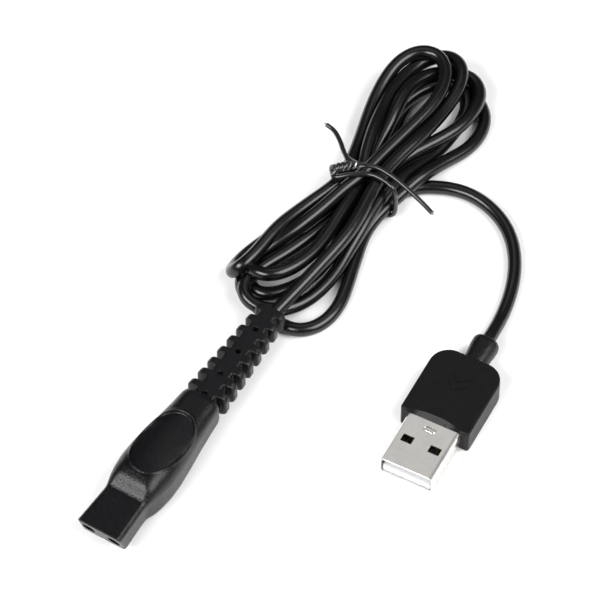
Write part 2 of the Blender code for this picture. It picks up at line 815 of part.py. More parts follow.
def tie_route():
    """One wire: left tail, twist, ring round the hank, twist back, right tail."""
    first = twist_strand(math.pi)
    second = twist_strand(0.0)
    ring = smooth_route([first[0], *TIE_RING, second[0]], TIE_STEP)
    left_tail = smooth_route([*TIE_LEFT_TAIL, first[-1]], TIE_STEP)
    right_tail = smooth_route([second[-1], *TIE_RIGHT_TAIL], TIE_STEP)
    return left_tail[:-1] + first[::-1] + ring[1:-1] + second + right_tail[1:]


def make_twist_tie(coat_material, wire_material):
    """A plastic-coated wire.  The coat is a tube with the steel wire inside it."""
    route = tie_route()
    coat = as_mesh(add_tube("twist_tie_coat", route, TIE_DIAMETER, None))
    coat.data.materials.append(coat_material)
    start = route[0] - (route[1] - route[0]).normalized()
    end = route[-1] - (route[-2] - route[-1]).normalized()
    bore_route = [start] + route + [end]
    bore = as_mesh(add_tube("cutter_tie_bore", bore_route, TIE_BORE, None))
    combine(coat, bore)
    add_tube("twist_tie_wire", route, TIE_CORE_DIAMETER, wire_material)


def main():
    clear_scene()
    black_satin = make_material("black_satin_plastic", (0.012, 0.012, 0.014), 0.42)
    black_matte = make_material("black_matte_plastic", (0.018, 0.018, 0.020), 0.55)
    black_gloss = make_material("black_gloss_pvc", (0.008, 0.008, 0.009), 0.25)
    white = make_material("white_plastic", (0.85, 0.85, 0.86), 0.35)
    natural = make_material("natural_polythene", (0.62, 0.60, 0.54), 0.5)
    nickel = make_material("nickel_plate", (0.72, 0.69, 0.66), 0.28, 1.0)
    gold = make_material("gold_plate", (0.83, 0.62, 0.28), 0.25, 1.0)
    brass = make_material("brass", (0.70, 0.55, 0.28), 0.3, 1.0)
    steel = make_material("tie_wire_steel", (0.5, 0.5, 0.5), 0.35, 1.0)
    wire_colours = {
        "positive": make_material("red_insulation", (0.55, 0.02, 0.02), 0.4),
        "negative": make_material("black_insulation", (0.01, 0.01, 0.01), 0.4),
    }

    make_plug_housing(black_satin)
    make_contact_carrier(white)
    make_contact_sleeves(brass)
    make_plug_wires(wire_colours)
    make_plug_inner_mould(natural)
    make_strain_relief(black_satin)

    plug = bpy.data.objects.new("usb_plug_frame", None)
    bpy.context.scene.collection.objects.link(plug)
    plug.location = Vector(USB_TIP) * MM
    plug.rotation_euler = (0.0, 0.0, USB_TURN)
    make_usb_shell(nickel, plug)
    tongue_top = make_usb_tongue(white, plug)
    make_usb_contacts(gold, plug, tongue_top)
    make_usb_wires(wire_colours, plug)
    make_usb_inner_mould(natural, plug)
    make_usb_overmould(black_matte, plug)
    make_usb_cord_grommet(black_matte, plug)

    make_cord(black_gloss)
    make_twist_tie(black_gloss, steel)


main()
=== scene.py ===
"""Looks for a beard trimmer's USB charging lead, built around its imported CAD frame.

The lead lies on a pale floor: a two-pole trimmer connector with a ribbed strain relief, a
gloss cord folded into a hank under a twist tie, and a USB type A plug.  The lead's sizes and
places are in millimetres, in the CAD frame, and its meshes and curves are made in metres.  The
camera, floor and lights are placed in metres.
"""
import math

import bmesh
import bpy
import numpy as np
from mathutils import Matrix, Vector


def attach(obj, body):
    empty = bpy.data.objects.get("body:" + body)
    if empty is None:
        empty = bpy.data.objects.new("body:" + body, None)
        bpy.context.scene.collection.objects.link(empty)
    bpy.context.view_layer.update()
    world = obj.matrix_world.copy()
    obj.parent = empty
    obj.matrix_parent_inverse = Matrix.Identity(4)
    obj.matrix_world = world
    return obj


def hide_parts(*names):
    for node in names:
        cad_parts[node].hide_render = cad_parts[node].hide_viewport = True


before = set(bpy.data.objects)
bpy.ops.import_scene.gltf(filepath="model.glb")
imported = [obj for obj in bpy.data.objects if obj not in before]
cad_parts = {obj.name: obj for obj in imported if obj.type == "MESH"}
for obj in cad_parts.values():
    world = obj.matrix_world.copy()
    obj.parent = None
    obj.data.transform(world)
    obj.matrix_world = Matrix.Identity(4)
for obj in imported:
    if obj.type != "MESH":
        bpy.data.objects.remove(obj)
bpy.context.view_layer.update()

MM = 0.001

# ---- camera ----
CAMERA_TARGET = Vector((0.00068, 0.0424, 0.0))
CAMERA_AZIMUTH = math.radians(32.0)
CAMERA_ELEVATION = math.radians(54.0)
CAMERA_DISTANCE = 0.9
CAMERA_LENS = 254.6

# ---- cord ----
# Height of the connector's axis, where the cord leaves it.
AXIS_Z = 5.94
CORD_DIAMETER = 3.0
# In metres.
CORD_STEP = 1.5
CORD_FLOOR = 1.5
CORD_CEILING = 8.05
WAIST_Y = 70.8
EASE_MARGIN = 12
CURVE_PARTS = 16

# How strands that lie in each other are moved apart.  SIGHT_LINE points from the lead to the
# camera.
SIGHT_LINE = np.array((0.3115, -0.4985, 0.8090))
SETTLE_ROUNDS = 320
SETTLE_REACH = 9.0
SETTLE_SPACING = CORD_DIAMETER + 0.02
NEAREST_NEIGHBOUR = 5
PUSH_STRENGTH = 0.275
PUSH_ACROSS = 0.6
LIFT_STRENGTH = 0.25
KEEP_ACROSS = 0.97
KEEP_ALONG = 0.995
SHIFT_SMOOTHING = 0.3
# Lengths of cord at its two ends that stay put, at the plug only past this x and y.
HELD_START = 30.0
HELD_END = 110.0
FREE_RUN_CORNER = (9.5, 40.0)

# Along the inside of the strain relief, to near its tip.
TRIMMER_END = ((0, 6, AXIS_Z), (0, 15, AXIS_Z), (0, 24, AXIS_Z), (0, 30, AXIS_Z))
# From the hank to inside the USB plug's grommet.
USB_END = (
    (4.5, 76.0, 1.6), (6.2, 79.0, 1.55), (8.9, 81.7, 1.55), (12.0, 83.5, 1.55),
    (15.9, 84.7, 1.55), (20.4, 84.6, 1.55), (25.8, 82.9, 1.55), (30.6, 79.6, 1.55),
    (34.5, 74.8, 1.55), (37.3, 69.2, 1.55), (39.0, 63.8, 1.55), (39.9, 59.2, 1.9),
    (40.5, 55.4, 2.6), (40.9, 51.7, 3.05), (41.35, 47.0, 3.1), (41.7, 42.7, 3.1),
)
# The hank's lobes in the order the cord runs through them.  Each has the place (x, z) where it
# comes from under the tie, and guiding points round its loop.
LOBES = (
    ((2.0, 7.8), (
        (0.2, 33.6, 5.94), (0.8, 38.0, 6.2), (1.6, 43.0, 6.8), (2.5, 50.5, 7.4),
        (3.0, 57.0, 7.7), (2.6, 63.5, 7.8))),
    ((1.3, 7.6), (
        (1.0, 79.0, 7.2), (2.0, 88.5, 6.4), (2.5, 98.0, 6.2), (2.2, 105.5, 6.2),
        (-0.3, 111.0, 6.2), (-4.5, 112.3, 6.0), (-7.8, 109.8, 5.6), (-9.6, 105.0, 5.6),
        (-10.0, 98.0, 5.6), (-8.5, 90.5, 5.4), (-5.5, 80.0, 6.0))),
    ((-1.9, 7.7), (
        (-1.5, 62.5, 7.4), (-0.8, 56.0, 7.0), (-1.0, 49.5, 7.0), (-2.6, 43.5, 7.3),
        (-5.4, 39.8, 7.4), (-9.4, 39.3, 6.2), (-11.6, 42.0, 4.6), (-11.0, 46.5, 4.6),
        (-8.3, 52.5, 6.5), (-5.6, 60.5, 7.8))),
    ((-4.6, 7.7), (
        (-4.0, 77.5, 8.0), (-2.0, 84.0, 8.0), (-0.3, 91.5, 8.0), (0.4, 99.0, 8.0),
        (-1.2, 106.0, 8.0), (-5.2, 110.2, 8.0), (-9.5, 109.4, 8.0), (-12.2, 104.5, 7.5),
        (-12.2, 97.5, 6.8), (-11.0, 90.0, 5.6), (-8.5, 80.5, 4.8))),
    ((-6.6, 5.1), (
        (-8.8, 62.0, 5.6), (-10.6, 53.0, 6.8), (-11.1, 47.0, 7.8), (-11.1, 42.5, 8.0),
        (-11.5, 39.8, 7.4), (-12.4, 38.4, 5.6), (-13.4, 38.8, 3.3), (-14.0, 41.0, 1.8),
        (-13.9, 44.5, 1.5), (-12.9, 50.5, 1.5), (-10.9, 57.5, 1.6), (-8.3, 64.0, 2.8))),
    ((-3.6, 4.9), (
        (-4.2, 78.5, 4.7), (-6.0, 86.0, 4.2), (-8.0, 98.5, 3.8), (-7.0, 104.5, 3.8),
        (-3.0, 109.3, 3.8), (1.8, 111.3, 3.8), (6.0, 108.6, 3.8), (7.4, 103.0, 4.0),
        (7.0, 96.0, 4.5), (4.5, 89.5, 4.9), (2.0, 83.5, 5.1))),
    ((-0.2, 5.1), (
        (1.2, 63.0, 4.7), (2.0, 56.5, 4.0), (1.5, 50.0, 3.4), (0.0, 44.5, 3.0),
        (-3.0, 40.0, 2.8), (-6.0, 37.2, 2.8), (-9.4, 37.2, 2.8), (-11.5, 39.8, 2.8),
        (-11.2, 44.0, 2.8), (-8.6, 52.0, 2.8), (-6.0, 62.0, 2.6))),
    ((-4.9, 2.5), (
        (-5.3, 81.5, 2.4), (-6.2, 89.5, 2.4), (-7.2, 97.0, 2.4), (-6.0, 103.0, 2.4),
        (-3.0, 107.2, 2.4), (1.2, 108.2, 2.4), (4.8, 105.2, 2.4), (6.2, 99.0, 2.8),
        (6.0, 90.0, 3.6), (4.5, 83.0, 4.6))),
    ((2.9, 5.0), (
        (3.0, 62.0, 4.2), (3.2, 57.5, 3.4), (4.0, 52.5, 2.6), (4.0, 47.0, 2.4),
        (3.0, 41.5, 2.4), (0.5, 37.0, 2.6), (-3.0, 34.5, 2.9), (-6.5, 34.0, 3.2),
        (-10.0, 36.0, 3.2), (-11.0, 40.0, 3.0), (-10.0, 44.5, 2.8), (-7.6, 50.0, 2.6),
        (-4.6, 60.0, 2.5))),
    ((-2.0, 2.5), (
        (-3.6, 81.0, 1.9), (-5.5, 92.0, 1.5), (-6.0, 99.0, 1.5), (-4.5, 104.5, 1.5),
        (0.5, 108.5, 1.5), (6.8, 107.2, 1.5), (10.5, 102.8, 1.5), (10.9, 95.5, 1.6),
        (8.0, 87.5, 2.6), (5.8, 80.0, 3.4))),
    ((3.9, 2.4), (
        (3.4, 64.5, 1.6), (5.0, 58.5, 1.5), (7.0, 52.0, 1.5), (9.0, 45.5, 1.5),
        (9.0, 39.0, 1.5), (6.0, 34.0, 1.5), (1.5, 33.0, 1.5), (-4.5, 34.0, 1.5),
        (-9.0, 35.5, 1.5), (-11.5, 39.0, 1.5), (-11.3, 42.5, 1.5), (-9.3, 46.5, 1.5),
        (-6.8, 52.0, 1.5), (-3.0, 61.0, 1.5))),
)
# Where the cord passes under the tie for the last time.
LAST_WAIST = (0.9, 2.4)

# ---- trimmer connector ----
MOUTH_Y = -33.3
MOUTH_SLANT = math.radians(18.0)
MOUTH_LEAN_REACH = 7.0
HOUSING_END_Y = 5.6
HOUSING_STEP = 0.15
RING_POINTS = 224
BLEND_RINGS = 7
# Along y: half width, half height and corner radius.
HOUSING_STATIONS = (
    (-33.3, 5.20, 3.20, 1.1), (-23.2, 4.85, 3.10, 1.2), (-22.4, 5.05, 3.60, 1.6),
    (-20.6, 5.50, 5.05, 2.8), (-18.6, 5.95, 5.70, 3.7), (-15.5, 6.30, 5.93, 4.2),
    (-12.0, 6.20, 5.93, 4.2), (-8.0, 5.80, 5.68, 4.0), (-3.5, 5.25, 5.15, 3.6),
    (1.0, 4.80, 4.60, 3.1), (4.9, 4.45, 4.15, 2.5), (5.6, 4.00, 3.75, 2.2),
)
THUMB_Y = -9.4
THUMB_HALF_LENGTH = 8.6
THUMB_HALF_WIDTH = 5.1
THUMB_DEPTH = 0.6
THUMB_CROWN = 0.9
THUMB_LEAST_DEPTH = 0.15
THUMB_SQUARENESS = 2.3
THUMB_WALL = 0.06
THUMB_FACE_HEIGHT = 2.5
BEAD_PLACE = 1.02
BEAD_REACH = 0.05
BEAD_HEIGHT = 0.12
# How far the first two rings, MOUTH_EDGE apart, and the last two are drawn in.
MOUTH_INSETS = (0.3, 0.09)
MOUTH_EDGE = 0.1
REAR_INSETS = (0.1, 0.4)
SLEEVE_X = 3.05
SLEEVE_HOLE = 2.9
CHAMBER_LOW = (-4.3, -23.0, AXIS_Z - 2.2)
CHAMBER_HIGH = (4.3, -4.0, AXIS_Z + 2.2)
RELIEF_SEAT_DIAMETER = 6.0
NOTCH_HALF_WIDTH = 1.3
NOTCH_DEPTH = 1.0
NOTCH_LENGTH = 8.0

# ---- strain relief ----
RELIEF_TIP_Y = 32.8
RIB_COUNT = 8
RIB_FIRST_Y = 7.9
RIB_PITCH = 3.4
RIB_THICKNESS = 1.8
RIB_RINGS = 12
RIB_SQUARENESS = 5
RIB_TIP_ROUND = 0.45
RIB_TOP_ROUND = 0.06
# At the housing and at the tip.
RIB_HALF_WIDTH = (4.85, 3.35)
RELIEF_HALF_HEIGHT = (2.95, 2.25)
CORE_HALF_WIDTH = (2.35, 1.85)
CORE_RINGS = 28
RELIEF_VOXEL = 0.11
VENT_PLACES = (6.5, 12.4, 19.2, 26.0)
VENT_DIAMETER = 1.1
VENT_DEPTH = 0.9
VENT_EDGE = (0.75, 1.15)
VENT_SKIN = 0.7
CORD_BORE = 3.6
RELIEF_TANG_LENGTH = 7.0
RELIEF_TANG_OVERLAP = 0.5

# ---- USB plug, in its own frame: y runs from the shell's tip towards the cord ----
USB_TIP = Vector((43.81, 14.33, 0.0))
USB_TURN = math.radians(4.3)
USB_AXIS_Z = 3.1
SHELL_WIDTH = 12.0
SHELL_HEIGHT = 4.5
SHELL_WALL = 0.3
SHELL_RADIUS = 0.6
SHELL_LENGTH = 20.0
SHELL_EXPOSED = 12.9
SHELL_FIT = 0.06
SHELL_LIP = 0.08
SHELL_EDGE = 0.03
WINDOW_CENTRE = (3.13, 6.8)
WINDOW_SIZE = (2.5, 1.85)
DIMPLE_Y = 10.87
DIMPLE_SIZE = (2.9, 1.6)
DIMPLE_DEPTH = 0.24
# The pad in the dimple: height over the shell's face, and inset.
DIMPLE_PAD = ((-0.27, 0.24), (-0.06, 0.24), (0.01, 0.3), (0.05, 0.42), (0.07, 0.6))
OVERMOULD_WIDTH = 15.8
OVERMOULD_HEIGHT = 6.2
OVERMOULD_REAR_Y = 31.0
OVERMOULD_REAR_RADIUS = 4.4
OVERMOULD_FRONT_RADIUS = 0.5
OVERMOULD_EDGE = 0.42
SCOOP_DEPTH = 1.2
SCOOP_HALF_WIDTH = 7.0
SCOOP_LEAST_DEPTH = 0.02
SCOOP_STEPS = 40
TONGUE_SIZE = (11.1, 1.9)
TONGUE_TOP = USB_AXIS_Z - 0.05
TONGUE_ENDS = (0.3, 18.4)
# The tongue's pale tip ends here; the body behind it is coloured near black as painted shade.
TONGUE_TIP_LENGTH = 3.4
TONGUE_RADIUS = 0.3
TONGUE_BEVEL = 0.12
TONGUE_JOINT = 0.02
GROMMET_START_Y = 28.3
GROMMET_TIP_Y = 37.8
GROMMET_TANG = 4.4
# Along y: width, height and corner radius.
GROMMET_SECTIONS = (
    (31.3, 5.1, 4.6, 2.1), (31.6, 5.2, 4.7, 2.1), (33.2, 5.3, 4.8, 2.1), (35.4, 5.8, 5.1, 2.2),
    (36.9, 5.9, 5.1, 2.2), (37.4, 5.7, 5.0, 2.2), (37.7, 5.3, 4.7, 2.1), (37.8, 4.7, 4.3, 1.9),
)
TOUCH_GAP = 0.3
CUT_OVERRUN = 1.0
POCKET_END_Y = 27.6
GROMMET_SEAT_Y = 26.6
MARK_Y = 21.6
MARK_PITCH = 2.1
MARK_HALF_WIDTH = 2.3
MARK_ARM = 0.75
MARK_RISE = 1.7
MARK_ROOT = 0.3
MARK_HEIGHT = 0.14

# ---- twist tie ----
TIE_DIAMETER = 1.05
TIE_LEFT_TAIL = (
    (-15.9, 79.0, 10.0), (-13.2, 78.4, 10.0), (-10.7, 76.7, 10.1), (-8.4, 74.5, 10.4),
    (-6.5, 72.8, 10.9),
)
TIE_RIGHT_TAIL = (
    (-0.4, 73.6, 11.4), (3.8, 73.9, 10.8), (8.2, 73.0, 10.5), (13.0, 71.6, 10.2),
    (16.8, 70.2, 10.0),
)
TIE_RING = (
    (-8.2, 69.3, 10.2), (-8.0, 70.0, 6.2), (-7.5, 70.5, 2.1), (-5.6, 70.8, 0.62),
    (-2.0, 70.8, 0.6), (1.5, 70.8, 0.6), (4.4, 70.9, 0.62), (6.4, 71.2, 2.1),
    (6.6, 71.5, 5.6), (5.6, 72.0, 9.35), (2.4, 72.5, 10.05), (-0.8, 72.1, 10.05),
    (-4.0, 69.9, 10.0), (-5.9, 67.9, 10.1), (-6.8, 67.3, 10.7),
)
TWIST_START = Vector((-6.8, 68.8, 11.5))
TWIST_END = Vector((-4.9, 70.9, 11.5))
TWIST_TURNS = 1.5
TWIST_RADIUS = 0.62
TWIST_POINTS = 16
TIE_STEP = 0.6

# ---- the CAD nodes that stay as they are, with their finishes ----
CAD_FINISHES = {
    "contact_carrier": "white",
    "contact_sleeve_left": "brass",
    "contact_sleeve_right": "brass",
    "plug_wire_positive": "red",
    "plug_wire_negative": "black",
    "plug_inner_mould": "natural",
    "usb_contact_vbus": "gold",
    "usb_contact_data_minus": "gold",
    "usb_contact_data_plus": "gold",
    "usb_contact_ground": "gold",
    "usb_wire_positive": "red",
    "usb_wire_negative": "black",
    "usb_inner_mould": "natural",
    "twist_tie_wire": "steel",
}


# ---- routes ----
def smooth_route(points, step):
    """Points about step apart on a smooth curve through the given points, as an array."""
    p = np.array(points, float)
    p = np.vstack([2 * p[0] - p[1], p, 2 * p[-1] - p[-2]])
    t = np.linspace(0.0, 1.0, CURVE_PARTS, endpoint=False)[:, None]
    fine = []
    for a, b, c, d in zip(p, p[1:], p[2:], p[3:]):
        cubic = (3 * b - a - 3 * c + d) * t ** 3
        fine.append(0.5 * (2 * b + (c - a) * t + (2 * a - 5 * b + 4 * c - d) * t * t + cubic))
    fine = np.vstack(fine + [p[-2]])
    arc = np.r_[0.0, np.cumsum(np.linalg.norm(np.diff(fine, axis=0), axis=1))]
    places = np.linspace(0.0, arc[-1], max(3, int(round(arc[-1] / step)) + 1))
    return np.stack([np.interp(places, arc, fine[:, k]) for k in range(3)], axis=1)


def hank_points():
    """The cord's guiding points: strain relief, every lobe through its place under the tie, plug."""
    points = list(TRIMMER_END) + list(LOBES[0][1])
    for (x, z), loop in LOBES[1:]:
        points.append((x, WAIST_Y, z))
        points += loop
    points.append((LAST_WAIST[0], WAIST_Y, LAST_WAIST[1]))
    return points + list(USB_END)


def ease(route, rounds):
    """Eases sharp bends, away from the cord's two straight ends."""
    route = route.copy()
    free = slice(EASE_MARGIN, -EASE_MARGIN)
    for _ in range(rounds):
        middle = (route[:-2] + route[2:]) / 2
        route[1:-1][free] += 0.5 * (middle - route[1:-1])[free]
    return route


def along_sight(vectors):
    """The part of each vector that lies along the sight line."""
    return (vectors @ SIGHT_LINE)[:, None] * SIGHT_LINE


def neighbours(route):
    """Pairs of points on different strands that lie near each other."""
    first, second = np.triu_indices(len(route), NEAREST_NEIGHBOUR)
    near = np.linalg.norm(route[second] - route[first], axis=1) < SETTLE_REACH
    return first[near], second[near]


def moves_apart(points, first, second):
    """How each point moves away from those that are too close to it."""
    apart = points[second] - points[first]
    gap = np.linalg.norm(apart, axis=1)
    close = gap < SETTLE_SPACING
    i, j = first[close], second[close]
    size = np.maximum(gap[close], 1e-6)[:, None]
    way = apart[close] / size
    lack = SETTLE_SPACING - size
    push = PUSH_STRENGTH * lack * way
    along = along_sight(push)
    lift = np.sign(way @ SIGHT_LINE)[:, None] * SIGHT_LINE * lack * LIFT_STRENGTH
    push = (push - along) * PUSH_ACROSS + along + lift
    move = np.zeros_like(points)
    hits = np.zeros(len(points))
    np.add.at(move, j, push)
    np.add.at(move, i, -push)
    np.add.at(hits, j, 1)
    np.add.at(hits, i, 1)
    return move / np.sqrt(np.maximum(hits, 1))[:, None]


def settle(route):
    """Moves strands that lie in each other apart, between the floor and the tie's height.

    They part mostly up and down along the sight line, and each point is drawn back to where
    it was placed.  The cord's two ends stay where they are.
    """
    arc = np.arange(len(route)) * CORD_STEP
    free_run = (route[:, 0] > FREE_RUN_CORNER[0]) & (route[:, 1] > FREE_RUN_CORNER[1])
    held = (arc < HELD_START) | (free_run & (arc > arc[-1] - HELD_END))
    first, second = neighbours(route)
    points = route.copy()
    for _ in range(SETTLE_ROUNDS):
        shift = points + moves_apart(points, first, second) - route
        along = along_sight(shift)
        shift = (shift - along) * KEEP_ACROSS + along * KEEP_ALONG
        for _ in range(2):
            shift[1:-1] += SHIFT_SMOOTHING * (shift[:-2] + shift[2:] - 2 * shift[1:-1])
        shift[held] = 0.0
        points = route + shift
        points[:, 2] = np.clip(points[:, 2], CORD_FLOOR, CORD_CEILING)
    return points


# ---- mesh helpers ----
def add_mesh(name, vertices, faces, matrix=None, sharp=38.0):
    """A closed mesh from points in millimetres, its faces turned outwards."""
    mesh = bpy.data.meshes.new(name)
    mesh.from_pydata([Vector(v) * MM for v in vertices], [], faces)
    build = bmesh.new()
    build.from_mesh(mesh)
    bmesh.ops.recalc_face_normals(build, faces=build.faces)
    build.to_mesh(mesh)
    build.free()
    if matrix is not None:
        mesh.transform(matrix)
    mesh.shade_smooth()
    mesh.set_sharp_from_angle(angle=math.radians(sharp))
    item = bpy.data.objects.new(name, mesh)
    bpy.context.scene.collection.objects.link(item)
    return item


def ring_faces(first, second, count):
    """The faces between two rings of points."""
    return [
        (first + k, first + (k + 1) % count, second + (k + 1) % count, second + k)
        for k in range(count)
    ]


def loft_data(rings):
    """The points and faces of a solid through the rings, closed at both ends."""
    count = len(rings[0])
    faces = [tuple(range(count))]
    for k in range(len(rings) - 1):
        faces += ring_faces(k * count, (k + 1) * count, count)
    faces.append(tuple(range((len(rings) - 1) * count, len(rings) * count)))
    return [p for ring in rings for p in ring], faces


def add_loft(name, rings, matrix=None, sharp=38.0):
    vertices, faces = loft_data(rings)
    return add_mesh(name, vertices, faces, matrix, sharp)


def add_sleeve(name, outer, inner, matrix=None, sharp=38.0):
    """A bored solid: outer rings, then inner rings back to the start."""
    count = len(outer[0])
    rings = outer + inner[::-1]
    faces = []
    for k in range(len(rings)):
        faces += ring_faces(k * count, (k + 1) % len(rings) * count, count)
    return add_mesh(name, [p for ring in rings for p in ring], faces, matrix, sharp)


def rounded(half_width, half_height, radius, count):
    """Evenly spaced (x, z) points round a rectangle with round corners."""
    outline = []
    for corner in range(4):
        sign_x = (1, -1, -1, 1)[corner]
        sign_z = (1, 1, -1, -1)[corner]
        for step in range(13):
            angle = math.radians(90.0 * (corner + step / 12))
            x = sign_x * (half_width - radius) + radius * math.cos(angle)
            outline.append((x, sign_z * (half_height - radius) + radius * math.sin(angle)))
    outline.append(outline[0])
    outline = np.array(outline)
    arc = np.r_[0.0, np.cumsum(np.linalg.norm(np.diff(outline, axis=0), axis=1))]
    places = np.linspace(0.0, arc[-1], count, endpoint=False)
    return np.stack([np.interp(places, arc, outline[:, k]) for k in (0, 1)], axis=1)


def section(y, half_width, half_height, radius, centre=(0.0, AXIS_Z), count=64):
    return [
        (centre[0] + x, y, centre[1] + z)
        for x, z in rounded(half_width, half_height, radius, count)
    ]


def circle(y, diameter, centre=(0.0, AXIS_Z), count=64):
    turns = [2 * math.pi * k / count for k in range(count)]
    radius = diameter / 2
    return [
        (centre[0] + radius * math.cos(a), y, centre[1] + radius * math.sin(a)) for a in turns
    ]


def add_rod(name, low_y, high_y, diameter, centre, matrix=None, count=48):
    return add_loft(name, [circle(y, diameter, centre, count) for y in (low_y, high_y)], matrix)


def add_box(name, low, high, matrix=None):
    rings = [
        [(low[0], y, low[2]), (high[0], y, low[2]), (high[0], y, high[2]), (low[0], y, high[2])]
        for y in (low[1], high[1])
    ]
    return add_loft(name, rings, matrix)


def combine(item, tools, operation="DIFFERENCE"):
    """Cuts item with each tool, or adds it, and removes the tools."""
    for tool in tools:
        modifier = item.modifiers.new("combine", "BOOLEAN")
        modifier.operation = operation
        modifier.object = tool
        modifier.solver = "EXACT"
    apply_modifiers(item)
    for tool in tools:
        bpy.data.objects.remove(tool, do_unlink=True)


def apply_modifiers(item):
    """Keeps the item's shape as its modifiers make it."""
    bpy.context.view_layer.update()
    graph = bpy.context.evaluated_depsgraph_get()
    mesh = bpy.data.meshes.new_from_object(item.evaluated_get(graph))
    item.modifiers.clear()
    item.data = mesh


def soften_edges(item, width, sharp=38.0):
    """A small round on every sharp edge."""
    modifier = item.modifiers.new("edge_round", "BEVEL")
    modifier.width = width * MM
    modifier.segments = 2
    modifier.limit_method = "ANGLE"
    modifier.angle_limit = math.radians(sharp)
    modifier.use_clamp_overlap = True
    apply_modifiers(item)
    flatten_shading(item, sharp)


def flatten_shading(item, sharp):
    """Smooth round stretches, with large faces that stay flat in the light."""
    item.data.shade_smooth()
    item.data.set_sharp_from_angle(angle=math.radians(sharp))
    weighted = item.modifiers.new("flat_faces", "WEIGHTED_NORMAL")
    weighted.keep_sharp = True
    weighted.weight = 100
    apply_modifiers(item)


def mix(pair, share):
    """A value between the pair's two, for a share from 0 to 1."""
    return pair[0] + (pair[1] - pair[0]) * share


def smooth_step(low, high, value):
    """0 below low and 1 above high, with a smooth rise between."""
    t = min(1.0, max(0.0, (value - low) / (high - low)))
    return t * t * (3 - 2 * t)


# ---- materials ----
def node(tree, kind, **values):
    """A new node with its settings: a property where it has one, and else an input."""
    made = tree.nodes.new(kind)
    for key, value in values.items():
        if hasattr(made, key):
            setattr(made, key, value)
        else:
            made.inputs[key.replace("_", " ")].default_value = value
    return made


def add_colour(tree, shader, pattern, colour, vary):
    """Colour that runs between a darker and a lighter shade with the pattern."""
    ramp = tree.nodes.new("ShaderNodeValToRGB")
    dark, light = ramp.color_ramp.elements
    dark.position = 0.3
    light.position = 0.7
    dark.color = (*[c * (1 - vary) for c in colour], 1.0)
    light.color = (*[min(1.0, c * (1 + vary)) for c in colour], 1.0)
    tree.links.new(pattern.outputs["Fac"], ramp.inputs["Fac"])
    tree.links.new(ramp.outputs["Color"], shader.inputs["Base Color"])


def add_gloss(tree, shader, fine, slow, roughness, vary):
    """Roughness that changes with the mean of the two patterns."""
    half = node(tree, "ShaderNodeMath", operation="MULTIPLY")
    half.inputs[1].default_value = 0.5
    mean = node(tree, "ShaderNodeMath", operation="MULTIPLY_ADD")
    mean.inputs[1].default_value = 0.5
    gloss = node(tree, "ShaderNodeMapRange", To_Min=roughness - vary, To_Max=roughness + vary)
    tree.links.new(fine.outputs["Fac"], half.inputs[0])
    tree.links.new(slow.outputs["Fac"], mean.inputs[0])
    tree.links.new(half.outputs["Value"], mean.inputs[2])
    tree.links.new(mean.outputs["Value"], gloss.inputs["Value"])
    tree.links.new(gloss.outputs["Result"], shader.inputs["Roughness"])


def make_material(name, colour, roughness, metallic=0.0, coat=0.0, grain=0.2, bump=0.01,
                  vary=0.15, rough_vary=0.06, stretch=(1.0, 1.0, 1.0), specular=0.5,
                  speckled=False):
    """A moulded, drawn or brushed finish: fine grain in mm, bump depth in mm, and slow changes
    of colour and gloss.  stretch below 1 draws the grain out along that axis, and speckled
    ties the colour to the fine grain."""
    material = bpy.data.materials.new(name)
    material.use_nodes = True
    tree = material.node_tree
    shader = tree.nodes["Principled BSDF"]
    shader.inputs["Metallic"].default_value = metallic
    shader.inputs["Coat Weight"].default_value = coat
    shader.inputs["Coat Roughness"].default_value = 0.1
    shader.inputs["Specular IOR Level"].default_value = specular
    place = tree.nodes.new("ShaderNodeTexCoord")
    spread = node(tree, "ShaderNodeMapping", Scale=stretch)
    fine = node(tree, "ShaderNodeTexNoise", Scale=1.0 / (grain * MM), Detail=3.0, Roughness=0.6)
    slow = node(tree, "ShaderNodeTexNoise", Scale=260.0, Detail=4.0, Roughness=0.55)
    relief = node(tree, "ShaderNodeBump", Strength=1.0, Distance=bump * MM)
    tree.links.new(place.outputs["Object"], spread.inputs["Vector"])
    tree.links.new(spread.outputs["Vector"], fine.inputs["Vector"])
    tree.links.new(place.outputs["Object"], slow.inputs["Vector"])
    tree.links.new(fine.outputs["Fac"], relief.inputs["Height"])
    tree.links.new(relief.outputs["Normal"], shader.inputs["Normal"])
    add_colour(tree, shader, fine if speckled else slow, colour, vary)
    add_gloss(tree, shader, fine, slow, roughness, rough_vary)
    return material


